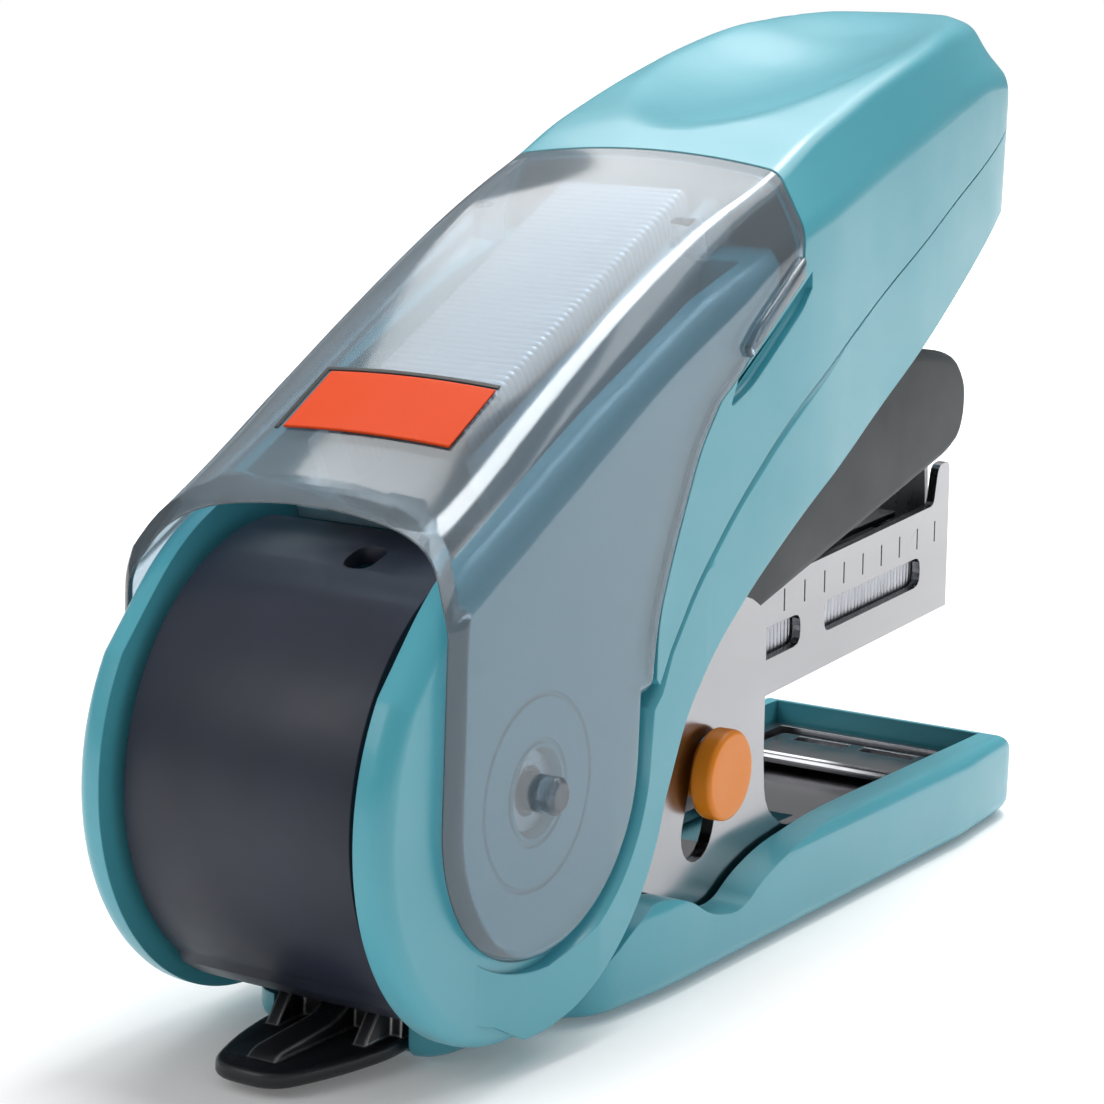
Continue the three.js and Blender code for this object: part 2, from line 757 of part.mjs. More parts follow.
const link = new THREE.Group();
stapler.add(link);
const [linkX, linkZ] = polar(LINK_R, LINK_DEG);
piece(link, "link_pin", rod(0.9, -8.2, 8.2, linkX, linkZ, 20), STEEL);
for (const [name, side] of Object.entries(SIDES)) {
  piece(link, "link_knob_" + name, linkKnob(side), ORANGE);
}

export default stapler;
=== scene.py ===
"""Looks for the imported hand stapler: smooth shells, individual staples and procedural materials."""

import math

import bmesh
import bpy
import numpy as np
from mathutils import Matrix, Vector

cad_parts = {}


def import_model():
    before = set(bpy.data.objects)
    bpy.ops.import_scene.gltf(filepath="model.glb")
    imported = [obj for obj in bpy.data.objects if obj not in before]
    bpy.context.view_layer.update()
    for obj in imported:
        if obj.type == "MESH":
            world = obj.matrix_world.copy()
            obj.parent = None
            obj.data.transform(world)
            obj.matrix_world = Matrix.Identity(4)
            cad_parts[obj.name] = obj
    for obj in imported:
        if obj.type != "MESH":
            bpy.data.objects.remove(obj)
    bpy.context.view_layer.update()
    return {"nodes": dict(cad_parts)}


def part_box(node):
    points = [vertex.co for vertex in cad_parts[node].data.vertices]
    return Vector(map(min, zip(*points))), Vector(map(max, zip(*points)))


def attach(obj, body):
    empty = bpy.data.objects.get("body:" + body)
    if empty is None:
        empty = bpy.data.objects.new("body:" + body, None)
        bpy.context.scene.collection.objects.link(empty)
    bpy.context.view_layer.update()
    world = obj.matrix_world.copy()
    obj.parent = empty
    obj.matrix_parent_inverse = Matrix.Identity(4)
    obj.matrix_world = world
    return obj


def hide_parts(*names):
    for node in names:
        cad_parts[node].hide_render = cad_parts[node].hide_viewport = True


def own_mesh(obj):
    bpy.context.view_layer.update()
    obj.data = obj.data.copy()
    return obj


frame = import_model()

MM = 0.001


def centre_mm(node):
    low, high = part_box(node)
    return (low + high) / 2 / MM


# ---- driving sizes, in millimetres, in the frame's own axes ----

HUB_Z = centre_mm("hub_axle").z
LINK = centre_mm("link_pin")
FULL_HALF = 11.0  # half of the handle's full width
CHEEK_R = 14.0
CHEEK_IN = 8.1
CHEEK_OUT = 9.9
SHIELD_R = 13.0
SHIELD_HALF = 7.2
KNOB_R = 2.8
SEAM = 0.07  # half of the gap that shows between handle pieces
LID_WALL = 0.8
SHELL_WALL = 1.1
STRIP_WALL = 1.8
ARM_HALF = 6.5
ARM_IN = 5.6
BASE_FRONT = 69.9
STAPLE_PITCH = 0.52
STAPLES = 50
CROWN_HALF = 4.4
WIRE = 0.45
STAPLE_LEG = 4.7
SPARE_LEG = 5.0
STAPLE_CORNER = 0.35  # radius where a leg meets the crown
MAG_TILT = math.radians(3.6)
BAY_TILT = math.radians(26.7)
BAY_FRONT = (24.5, 0, 46.05)  # the spare strip's front end, on its crown
STRIP_FRONT = 61.9  # the loaded strip's front end, along the magazine
STRIP_TOP = 1.3  # the loaded strip's crown, above the axle
ROD_W = -1.7  # the pusher rod, below the axle
SPRING_ENDS = (12.4, 28.9)  # along the magazine
BORE_R = 2.5
KNOB_FACE = 9.55
CROWN_STEPS = 18
BEND_STEPS = 7

# ---- meshes, built in millimetres and shrunk to metres when a piece is done ----


def unit(vector):
    return vector / max(np.linalg.norm(vector), 1e-9)


def mesh_object(name, points, faces):
    mesh = bpy.data.meshes.new(name)
    mesh.from_pydata([tuple(map(float, p)) for p in points], [], faces)
    mesh.validate()
    obj = bpy.data.objects.new(name, mesh)
    bpy.context.scene.collection.objects.link(obj)
    bm = bmesh.new()
    bm.from_mesh(mesh)
    bmesh.ops.recalc_face_normals(bm, faces=bm.faces)
    bm.to_mesh(mesh)
    bm.free()
    return obj


def arc(radius, start, end, steps, centre=(0.0, HUB_Z)):
    angles = np.radians(np.linspace(start, end, steps + 1))
    return [[centre[0] + radius * math.cos(a), centre[1] + radius * math.sin(a)] for a in angles]


def outline(points, steps=6):
    """A closed outline. A third number on a point rounds that corner."""
    out = []
    for i, point in enumerate(points):
        here = np.array(point[:2], float)
        if len(point) < 3:
            out.append(here)
            continue
        before = np.array(points[i - 1][:2], float)
        after = np.array(points[(i + 1) % len(points)][:2], float)
        a = here + unit(before - here) * min(point[2], 0.48 * np.linalg.norm(before - here))
        b = here + unit(after - here) * min(point[2], 0.48 * np.linalg.norm(after - here))
        for t in np.linspace(0, 1, steps + 1):
            out.append((1 - t) ** 2 * a + 2 * t * (1 - t) * here + t * t * b)
    return out


def prism(name, points, low, high, flat="xz", bevel=0.0, segments=5, rounding=6):
    """An outline in the XZ or XY plane, made solid from low to high along the third axis."""
    ring = outline(points, rounding)
    count = len(ring)

    def place(p, h):
        return (p[0], h, p[1]) if flat == "xz" else (p[0], p[1], h)

    verts = [place(p, low) for p in ring] + [place(p, high) for p in ring]
    faces = [list(range(count)), list(range(2 * count - 1, count - 1, -1))]
    for i in range(count):
        j = (i + 1) % count
        faces.append([i, j, count + j, count + i])
    obj = mesh_object(name, verts, faces)
    if bevel:
        bm = bmesh.new()
        bm.from_mesh(obj.data)
        rims = [e for e in bm.edges if any(len(f.verts) == count for f in e.link_faces)]
        bmesh.ops.bevel(bm, geom=rims, offset=bevel, segments=segments, profile=0.5, affect="EDGES")
        bm.to_mesh(obj.data)
        bm.free()
    return obj


def block(x0, x1, y0, y1, z0, z1):
    return prism("block", [[x0, z0], [x1, z0], [x1, z1], [x0, z1]], y0, y1)


def bake(obj):
    """Turns the modifiers into mesh."""
    graph = bpy.context.evaluated_depsgraph_get()
    mesh = bpy.data.meshes.new_from_object(obj.evaluated_get(graph))
    obj.modifiers.clear()
    obj.data = mesh
    return obj


def boolean(obj, tool, operation):
    modifier = obj.modifiers.new("cut", "BOOLEAN")
    modifier.operation = operation
    modifier.solver = "EXACT"
    modifier.object = tool
    bake(obj)
    bpy.data.objects.remove(tool)
    return obj


def keep(obj, tool):
    return boolean(obj, tool, "INTERSECT")


def remove(obj, tool):
    return boolean(obj, tool, "DIFFERENCE")


def join(obj, tool):
    return boolean(obj, tool, "UNION")


def soften(obj, width, segments=3, angle=32):
    """Rounds the edges that are sharper than angle."""
    modifier = obj.modifiers.new("soften", "BEVEL")
    modifier.width = width
    modifier.segments = segments
    modifier.limit_method = "ANGLE"
    modifier.angle_limit = math.radians(angle)
    modifier.miter_outer = "MITER_ARC"
    return bake(obj)


def shade(obj, angle=34):
    """Smooth shading, with edges sharper than angle kept crisp."""
    bm = bmesh.new()
    bm.from_mesh(obj.data)
    bmesh.ops.remove_doubles(bm, verts=bm.verts, dist=0.002)
    for face in bm.faces:
        face.smooth = True
    for edge in bm.edges:
        edge.smooth = edge.calc_face_angle(math.pi) < math.radians(angle)
    bm.to_mesh(obj.data)
    bm.free()


def even_normals(obj):
    """Keeps long thin faces from bending the shading of their neighbours."""
    modifier = obj.modifiers.new("even", "WEIGHTED_NORMAL")
    modifier.keep_sharp = True
    return obj


def finish_piece(obj, name, body, material, slot, *nodes, angle=34):
    shade(obj, angle)
    obj.data.transform(Matrix.Scale(MM, 4))
    obj.name = name
    obj.data.name = name
    obj.data.materials.clear()
    obj.data.materials.append(material)
    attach(obj, body)
    if nodes:
        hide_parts(*nodes)
    return obj


# ---- materials: every one is procedural ----


class Look:
    """A small helper that wires up one node material."""

    def __init__(self, name):
        self.material = bpy.data.materials.new(name)
        self.material.use_nodes = True
        self.tree = self.material.node_tree
        self.nodes = self.tree.nodes
        self.shader = self.nodes["Principled BSDF"]
        self.output = self.nodes["Material Output"]
        self.place = self.nodes.new("ShaderNodeTexCoord").outputs["Object"]

    def link(self, a, b):
        self.tree.links.new(a, b)

    def noise(self, scale, detail=3.0, stretch=(1, 1, 1)):
        mapping = self.nodes.new("ShaderNodeMapping")
        mapping.inputs["Scale"].default_value = stretch
        self.link(self.place, mapping.inputs["Vector"])
        noise = self.nodes.new("ShaderNodeTexNoise")
        noise.inputs["Scale"].default_value = scale
        noise.inputs["Detail"].default_value = detail
        self.link(mapping.outputs["Vector"], noise.inputs["Vector"])
        return noise.outputs["Fac"]

    def between(self, factor, low, high):
        ranged = self.nodes.new("ShaderNodeMapRange")
        ranged.inputs["From Min"].default_value = 0.3
        ranged.inputs["From Max"].default_value = 0.7
        ranged.inputs["To Min"].default_value = low
        ranged.inputs["To Max"].default_value = high
        self.link(factor, ranged.inputs["Value"])
        return ranged.outputs["Result"]

    def tint(self, factor, dark, light):
        ramp = self.nodes.new("ShaderNodeValToRGB")
        ramp.color_ramp.elements[0].position = 0.3
        ramp.color_ramp.elements[1].position = 0.7
        ramp.color_ramp.elements[0].color = (*dark, 1)
        ramp.color_ramp.elements[1].color = (*light, 1)
        self.link(factor, ramp.inputs["Fac"])
        self.link(ramp.outputs["Color"], self.shader.inputs["Base Color"])

    def rough(self, factor, low, high):
        self.link(self.between(factor, low, high), self.shader.inputs["Roughness"])

    def bump(self, factor, height, edge=0.12):
        """Fine relief in metres, over edges that are rounded by the edge radius in millimetres."""
        rounded = self.nodes.new("ShaderNodeBevel")
        rounded.samples = 4
        rounded.inputs["Radius"].default_value = edge * MM
        bump = self.nodes.new("ShaderNodeBump")
        bump.inputs["Strength"].default_value = 1.0
        bump.inputs["Distance"].default_value = height
        self.link(factor, bump.inputs["Height"])
        self.link(rounded.outputs["Normal"], bump.inputs["Normal"])
        self.link(bump.outputs["Normal"], self.shader.inputs["Normal"])

    def set(self, **values):
        for key, value in values.items():
            self.shader.inputs[key.replace("_", " ")].default_value = value
        return self


def shades(colour, spread):
    low = tuple(c * (1 - spread) for c in colour)
    high = tuple(min(1.0, c * (1 + spread)) for c in colour)
    return low, high


def plastic(name, colour, rough, grain, grain_scale=2500, spread=0.03, spotted=0.04):
    look = Look(name)
    look.tint(look.noise(90), *shades(colour, spread))
    look.rough(look.noise(260), rough - spotted, rough + spotted)
    look.bump(look.noise(grain_scale, 2.0), grain)
    look.set(IOR=1.5)
    return look


def steel(name, colour, rough, stretch=(1, 1, 1), spread=0.06, height=4e-7):
    look = Look(name)
    look.tint(look.noise(140, 4.0, stretch), *shades(colour, spread))
    look.rough(look.noise(420, 4.0, stretch), rough * 0.8, rough * 1.25)
    look.bump(look.noise(1600, 3.0, stretch), height, 0.06)
    look.set(Metallic=1.0)
    return look


def blue_plastic():
    look = plastic("blue_plastic", (0.07, 0.36, 0.44), 0.34, 1.2e-6)
    look.set(Coat_Weight=0.25, Coat_Roughness=0.15, Subsurface_Weight=0.04)
    look.shader.inputs["Subsurface Radius"].default_value = (0.0006, 0.001, 0.001)
    return look.material


def black_plastic():
    look = plastic("black_plastic", (0.022, 0.026, 0.042), 0.4, 1.5e-6, spread=0.25)
    return look.set(Specular_IOR_Level=0.35).material


def grey_plastic():
    return plastic("grey_plastic", (0.055, 0.06, 0.065), 0.62, 9e-6, 3800, 0.12, 0.05).material


def orange_plastic():
    look = plastic("orange_plastic", (0.8, 0.23, 0.008), 0.34, 1e-6, spread=0.05)
    return look.set(Specular_IOR_Level=0.35).material


def orange_label():
    look = plastic("orange_label", (0.7, 0.062, 0.006), 0.5, 8e-7, spread=0.03)
    return look.set(Specular_IOR_Level=0.15).material


# Painted shade: a near-black sheet that stands in for the shadow along the edge of the label's recess.
def painted_label_shadow():
    return plastic("painted_label_shadow", (0.01, 0.011, 0.012), 0.4, 8e-7, spread=0.2).material


def rubber():
    return plastic("rubber_pad", (0.02, 0.022, 0.024), 0.8, 6e-6, 1800, 0.2).material


def black_paint():
    """Black paint worn to bare steel along the edges."""
    look = Look("black_paint")
    look.rough(look.noise(300), 0.22, 0.4)
    look.bump(look.noise(1400), 1.5e-6, 0.15)
    flat = look.nodes.new("ShaderNodeNewGeometry")
    rounded = look.nodes.new("ShaderNodeBevel")
    rounded.samples = 6
    rounded.inputs["Radius"].default_value = 0.35 * MM
    same = look.nodes.new("ShaderNodeVectorMath")
    same.operation = "DOT_PRODUCT"
    look.link(flat.outputs["Normal"], same.inputs[0])
    look.link(rounded.outputs["Normal"], same.inputs[1])
    worn = look.nodes.new("ShaderNodeMapRange")
    worn.inputs["From Min"].default_value = 0.97
    worn.inputs["From Max"].default_value = 0.86
    look.link(same.outputs["Value"], worn.inputs["Value"])
    mix = look.nodes.new("ShaderNodeMix")
    mix.data_type = "RGBA"
    mix.inputs["A"].default_value = (0.012, 0.013, 0.016, 1)
    mix.inputs["B"].default_value = (0.75, 0.72, 0.7, 1)
    look.link(worn.outputs["Result"], mix.inputs["Factor"])
    look.link(mix.outputs["Result"], look.shader.inputs["Base Color"])
    look.link(worn.outputs["Result"], look.shader.inputs["Metallic"])
    return look.material


def clear_plastic():
    """Smoked clear plastic: tinted in its depth, and letting tinted light through to what is inside."""
    look = Look("clear_plastic")
    look.rough(look.noise(180), 0.07, 0.11)
    look.bump(look.noise(220, 2.0), 1.2e-6, 0.15)
    look.set(Transmission_Weight=0.91, IOR=1.46, Base_Color=(0.66, 0.75, 0.82, 1))
    lets = look.nodes.new("ShaderNodeBsdfTransparent")
    lets.inputs["Color"].default_value = (0.84, 0.87, 0.89, 1)
    path = look.nodes.new("ShaderNodeLightPath")
    either = look.nodes.new("ShaderNodeMath")
    either.operation = "MAXIMUM"
    look.link(path.outputs["Is Shadow Ray"], either.inputs[0])
    look.link(path.outputs["Is Diffuse Ray"], either.inputs[1])
    mix = look.nodes.new("ShaderNodeMixShader")
    look.link(either.outputs["Value"], mix.inputs["Fac"])
    look.link(look.shader.outputs["BSDF"], mix.inputs[1])
    look.link(lets.outputs["BSDF"], mix.inputs[2])
    look.link(mix.outputs["Shader"], look.output.inputs["Surface"])
    smoke = look.nodes.new("ShaderNodeVolumeAbsorption")
    smoke.inputs["Color"].default_value = (0.34, 0.46, 0.52, 1)
    smoke.inputs["Density"].default_value = 420
    look.link(smoke.outputs["Volume"], look.output.inputs["Volume"])
    return look.material


def frosted_plastic():
    look = plastic("frosted_plastic", (0.42, 0.56, 0.62), 0.35, 2e-6, spread=0.05)
    look.set(Transmission_Weight=0.35, Subsurface_Weight=0.2)
    return look.material


BLUE = blue_plastic()
BLACK = black_plastic()
GREY = grey_plastic()
ORANGE = orange_plastic()
CLEAR = clear_plastic()
FROSTED = frosted_plastic()
RUBBER = rubber()
PAINT = black_paint()
NICKEL = steel("nickel_plate", (0.36, 0.36, 0.375), 0.19, (0.4, 1, 1)).material
TOOL_STEEL = steel("tool_steel", (0.58, 0.59, 0.61), 0.3, (1, 4, 1)).material
SPRING = steel("spring_steel", (0.42, 0.42, 0.44), 0.28).material
STAPLE = steel("staple_wire", (0.5, 0.51, 0.55), 0.36, (6, 1, 1)).material

# ---- the handle's form: one lofted shape, from which the lid, the shell and the strip are cut ----

# x, half width, height of the shoulder edge, half width and height of the top edge, crown height
SECTIONS = np.array(
    [
        [-12, 11, 24.6, 8.6, 28.4, 29.3],
        [-9.2, 11, 26.4, 8.6, 29.8, 30.6],
        [-4, 11, 29.2, 8.6, 32.5, 33.0],
        [3, 11, 32.9, 8.7, 36.5, 37.0],
        [12, 11, 37.6, 8.8, 41.4, 41.9],
        [20, 11.05, 41.1, 8.9, 45.1, 45.7],
        [27, 11.1, 44.3, 9.1, 47.7, 48.5],
        [31, 11.0, 45.4, 9.1, 49.5, 50.3],
        [35, 10.7, 46.5, 9.1, 50.9, 51.7],
        [40, 10.3, 47.9, 9.0, 52.5, 53.4],
        [47, 9.9, 49.9, 8.8, 54.4, 55.5],
        [54, 9.2, 51.7, 7.9, 55.9, 57.1],
        [60, 8.4, 52.9, 6.5, 56.4, 57.6],
        [64, 7.6, 53.0, 4.9, 55.7, 56.9],
        [67, 6.5, 51.6, 3.7, 53.7, 54.8],
        [69.2, 5.1, 49.6, 2.8, 51.2, 52.1],
        [70.4, 3.4, 48.0, 1.8, 49.0, 49.6],
    ]
)
FORM_BOTTOM = -2.0
RIDGE_EASE = [[-9, 10, 24], [3.2, 2.0, 0.7]]  # how far each side of the ridge is rounded, along x
HOLLOW = {"x": 46.5, "length": 17.0, "width": 7.8, "depth": 2.8}


def smooth_at(x, xs, ys):
    """A smooth curve through the points that never overshoots them."""
    steps = np.diff(xs)
    rise = np.diff(ys) / steps
    slope = np.zeros(len(xs))
    slope[0], slope[-1] = rise[0], rise[-1]
    for i in range(1, len(xs) - 1):
        a, b = rise[i - 1], rise[i]
        slope[i] = 0 if a * b <= 0 else 3 * (steps[i - 1] + steps[i]) / (
            (2 * steps[i] + steps[i - 1]) / a + (steps[i] + 2 * steps[i - 1]) / b
        )
    k = min(max(np.searchsorted(xs, x) - 1, 0), len(xs) - 2)
    t = (x - xs[k]) / steps[k]
    first = (1 + 2 * t) * (1 - t) ** 2 * ys[k] + t * t * (3 - 2 * t) * ys[k + 1]
    return first + steps[k] * (t * (1 - t) ** 2 * slope[k] - t * t * (1 - t) * slope[k + 1])


def hollow(x, y):
    """Depth of the thumb hollow: an oval dish with a soft rim."""
    inside = 1 - ((x - HOLLOW["x"]) / HOLLOW["length"]) ** 2 - (y / HOLLOW["width"]) ** 2
    return HOLLOW["depth"] * max(inside, 0.0) ** 1.25


def bend(a, c, b, t):
    return (1 - t) ** 2 * a + 2 * t * (1 - t) * c + t * t * b


def half_section(x, inset):
    """Points from the crown to the middle of the underside, at x."""
    wide, low, top, edge, crown = [smooth_at(x, SECTIONS[:, 0], SECTIONS[:, i]) for i in range(1, 6)]
    wide = max(wide - inset, 0.6)
    top = max(top - 0.6 * inset, 0.4)
    edge -= inset
    low -= 0.4 * inset
    rise = crown - inset - edge

    def arch(y):
        return np.array([y, edge + rise * (1 - (y / top) ** 2) - hollow(x, y)])

    shoulder = np.array([wide, low])
    ridge = np.array([top, edge])
    slope = np.linalg.norm(shoulder - ridge)
    down = unit(shoulder - ridge)
    ease = min(0.8, slope * 0.3)
    fall = float(np.interp(x, *RIDGE_EASE))
    start = top - fall
    fall = min(fall, slope * 0.45)
    turns = np.linspace(0.15, 1, BEND_STEPS)
    points = [arch(y) for y in np.linspace(0, start, CROWN_STEPS)]
    points += [bend(arch(start), ridge, ridge + down * fall, t) for t in turns]
    points += [ridge + down * d for d in np.linspace(fall, slope - ease, 4)[1:]]
    below = shoulder - np.array([0, ease])
    points += [bend(shoulder - down * ease, shoulder, below, t) for t in turns]
    points += [np.array([wide, z]) for z in np.linspace(below[1], FORM_BOTTOM, 7)[1:]]
    points += [np.array([0.0, FORM_BOTTOM])]
    return points


def form(name, inset=0.0):
    """The whole handle form, shrunk by inset, as a closed mesh."""
    xs = np.concatenate([np.arange(-12, 60, 0.9), np.linspace(60, 70.4, 22)])
    rows = []
    for x in xs:
        half = half_section(x, inset)
        shift = inset * max(x - 60, 0) / 10.4
        lead = 2 if inset and x == xs[0] else 0
        left = [(x - shift - lead, p[0], p[1]) for p in half]
        right = [(x - shift - lead, -p[0], p[1]) for p in half[1:-1]]
        rows.append(left + right[::-1])
    around = len(rows[0])
    faces = []
    for r in range(len(rows) - 1):
        for i in range(around):
            j = (i + 1) % around
            a, b = r * around, (r + 1) * around
            faces.append([a + i, a + j, b + j, b + i])
    faces.append(list(range(around - 1, -1, -1)))
    faces.append([(len(rows) - 1) * around + i for i in range(around)])
    return mesh_object(name, [p for row in rows for p in row], faces)


# The part line between the lid and the shell, from the top seam down to the bowl.
LID_FRONT = [
    [27.0, 60],
    [27.0, 41.5],
    [21.7, 38.0],
    [19.6, 36.4, 0.8],
    [17.5, 35.1],
    [15.3, 32.5, 1.4],
    [12.6, 26.7, 1.8],
    [11.3, 23.3, 1.6],
]
# The part line between the upper shell and the lower strip, from the cheek to the nose.
PART_LINE = [
    [12.9, 21.4],
    [15.6, 24.8, 1.5],
    [19.9, 28.7, 2],
    [26.0, 33.2, 3],
    [34.2, 37.2, 3],
    [42.7, 40.9, 3],
    [52.2, 44.9, 3],
    [64.2, 49.1, 3],
    [75, 52.4],
]
# The lower edge of the handle, from the nose back to the cheek.
LOWER_EDGE = [
    [75, 44.0],
    [64.5, 43.7, 2],
    [59.7, 41.6, 2],
    [47.8, 35.9, 4],
    [38.1, 31.4, 3],
    [28.8, 26.9, 3],
    [22.8, 23.4, 2],
    [18.4, 20.3, 2],
    [15.4, 17.0, 1.5],
    [14.0, 14.0],
]


def shifted(points, dx, dz):
    return [[p[0] + dx, p[1] + dz, *p[2:]] for p in points]


def bowl(grow, start, end, steps=40):
    """The lid's round lower end: an arc about the axle, a little flattened and set forward."""
    points = arc(9.85 + grow, start, end, steps)
    return [[x + 0.65, HUB_Z + 0.954 * (z - HUB_Z)] for x, z in points]


def lid():
    rear = [[-9.2, 26.2, 0.8], [-8.3, 28.4], [-7.3, 30.4], [-6.2, 31.8], [-5.2, 32.6], [-5.2, 60]]
    side = [[45, 60], [45, 23], [10.5, 19], *bowl(0, 0, -180), *rear]
    behind = [*shifted(LID_FRONT, -SEAM, 0), [10.5, 15.7], [10.5, -2], [-20, -2], [-20, 60]]
    shell = keep(form("lid_form"), prism("sides", side, -11.05, 11.05, bevel=1.3))
    shell = keep(shell, prism("front", behind, -14, 14))
    shell = remove(shell, form("lid_inside", LID_WALL))
    for side in (-1, 1):
        shell = join(shell, latch(side))
        shell = join(shell, block(19.6, 21.2, *sorted((side * 6.1, side * 7.3)), 42.6, 44.6))
    return finish_piece(shell, "lid_clear", "cover", CLEAR, "clear_plastic", "lid")


def latch(side):
    """The tab at the lid's front corner, that a fingertip lifts."""
    tab = [[26.7, 42.9], [26.7, 41.6], [21.6, 38.2], [20.4, 37.3], [19.9, 38.0], [21.2, 39.2]]
    low, high = sorted((side * 10.3, side * 11.5))
    return soften(prism("tab", tab, low, high), 0.25)


def handle_shell():
    tip = [[11.4, 20.0], [11.8, 19.6]]
    side = [[75, 60], *shifted(LID_FRONT, SEAM, 0), *tip, *shifted(PART_LINE, 0, SEAM)]
    shell = keep(form("shell_form"), prism("side", side, -14, 14))
    shell = remove(shell, form("shell_inside", SHELL_WALL))
    scoop = [[28.2, 41.9], [21.7, 37.7], [19.5, 36.3], [18.6, 34.6, 0.6]]
    scoop += [[21.2, 35.6, 1], [27.1, 39.6, 0.7], [28.3, 40.9]]
    for side in (-1, 1):
        low, high = sorted((side * 10.45, side * 13))
        shell = remove(shell, prism("scoop", scoop, low, high, bevel=0.3))
    finish_piece(shell, "handle_top", "handle", BLUE, "blue_plastic", "handle_shell")
    return even_normals(shell)


def cheeks():
    """Round cheeks that run up beside the refill bay."""
    wall = [*arc(CHEEK_R, 150, 377, 120), [18.5, 26], [26.2, 36], [26.2, 43.0]]
    wall += [[18, 40.4], [6, 34.9], [-3, 30.2], [-7.5, 27.9, 3]]
    body = prism("cheeks", wall, -CHEEK_OUT, CHEEK_OUT, bevel=1.2, segments=6)
    for side in (-1, 1):
        low, high = sorted((side * (CHEEK_OUT - 0.2), side * 12))
        for radius in (3.0, 5.5):
            groove = prism("groove", arc(radius, 0, 356.4, 99), low, high)
            body = remove(body, remove(groove, prism("core", arc(radius - 0.3, 0, 356.4, 99), -13, 13)))
    return body


def handle_frame():
    foot = [[11.0, 18.4], [11.9, 19.2]]
    rim = [*arc(CHEEK_R - 0.35, -14, -92, 45), *arc(CHEEK_R - 1.3, -104, -128, 8)]
    seat = [*bowl(0.55, -125, -85, 12), *bowl(0.3, -72, 0, 24)]
    side = [*foot, *shifted(PART_LINE, 0, -SEAM), *LOWER_EDGE, *rim, *seat]
    strip = prism("strip", side, -FULL_HALF - 0.2, FULL_HALF + 0.2, bevel=0.9, segments=5)
    sink = [[80, -FULL_HALF - 1], [6, -FULL_HALF], [-5, -CHEEK_OUT]]
    sink += [[x, -y] for x, y in reversed(sink)]
    strip = keep(strip, prism("sink", sink, -5, 60, flat="xy"))
    strip = keep(strip, form("strip_form"))
    strip = remove(strip, form("strip_inside", STRIP_WALL))
    body = join(cheeks(), strip)
    body = remove(body, block(-20, 24, -CHEEK_IN, CHEEK_IN, -5, 60))
    body = remove(body, prism("bore", arc(BORE_R, 0, 352, 44), -14, 14))
    slope = [[24, 29.6], [62, 46.0], [62, 47.4], [24, 31.0]]
    body = join(body, keep(prism("bridge", slope, -12, 12), form("bridge_form", 1.7)))
    finish_piece(body, "handle_body", "handle", BLUE, "blue_plastic", "handle_frame")
    return even_normals(body)


def rear_shield():
    lip = arc(SHIELD_R + 0.3, 234, 247, 16)
    ring = [*arc(SHIELD_R, 91, 231, 110), *lip, *arc(SHIELD_R - 0.9, 248, 91, 110)]
    body = prism("shield", ring, -SHIELD_HALF, SHIELD_HALF)
    window = [[-5.4, -2.7, 0.9], [-3.0, -2.7, 0.9], [-3.0, -0.8, 0.9], [-5.4, -0.8, 0.9]]
    body = remove(body, prism("window", window, 24, 33, flat="xy"))
    return finish_piece(soften(body, 0.25), "rear_drum", "base", BLACK, "black_plastic", "rear_shield")


def base_shell():
    plan = [[-3, -6.2, 2.4], [7, -7.6, 3], [9, -9.7, 2], [16, -10.4, 3], [58, -10.5], [BASE_FRONT, -9.6, 4]]
    plan += [[x, -y, *r] for x, y, *r in reversed(plan)]
    slab = prism("slab", plan, 0.3, 6.3, flat="xy", bevel=1.15, segments=6, rounding=10)
    top = [*arc(15.4, -88, -52, 20), [12, 5.2, 0.6], [14.4, 6.1, 1], [17.4, 5.7, 1.5]]
    top += [[20.6, 3.9, 1.5], [24.4, 3.2, 2], [27, 4.6, 1.4], [30.5, 5.6, 2], [38, 6.3, 3]]
    top += [[66.2, 6.3, 1.2], [BASE_FRONT + 0.1, 1.2], [BASE_FRONT + 0.1, -1], [0.6, -1]]
    walls = join(prism("walls", top, -12, 12, rounding=8), block(-4, 16, -7.6, 7.6, -2, 2.4))
    body = keep(slab, walls)
    body = remove(body, block(-5, 64.9, -8.1, 8.1, 2.3, 9))
    body = remove(body, block(-5, -1.6, -4.5, 4.5, 0, 3))
    pad = [[-0.9, -4.9, 1.5], [8, -6.5], [63.3, -8.5, 3], [63.3, 8.5, 3], [8, 6.5], [-0.9, 4.9, 1.5]]
    body = remove(body, prism("recess", pad, -1, 1.3, flat="xy"))
    return finish_piece(soften(body, 0.4), "base_cover", "base", BLUE, "blue_plastic", "base_shell")


def driver_arm():
    side = [*arc(4.2, 110, 268, 24), [33.8, 20.2, 2], [60.6, 26.9, 1.2], [62.5, 27.9, 0.9]]
    side += [[63.2, 29.6, 0.8], [63.1, 31.8, 1], [61.4, 33.7, 1.5], [59, 34.3, 1]]
    side += [[53.6, 34.8, 2.4], [46.5, 34.2, 3.5], [30, 27.7, 5]]
    body = prism("arm", side, -ARM_HALF, ARM_HALF, bevel=0.85, segments=6)
    room = [[-6, 8], [70, 8], [70, 37], [61.6, 37], [61.6, 32.2], [53.8, 33.2]]
    room += [[47.2, 32.8], [30.6, 26.2], [8, 17.9], [6, 26], [-6, 26]]
    body = remove(body, prism("room", room, -ARM_IN, ARM_IN))
    body = remove(body, prism("bore", arc(BORE_R, 0, 352, 44), -9, 9))
    return finish_piece(body, "driver_arm_cover", "arm", GREY, "grey_plastic", "driver_arm")


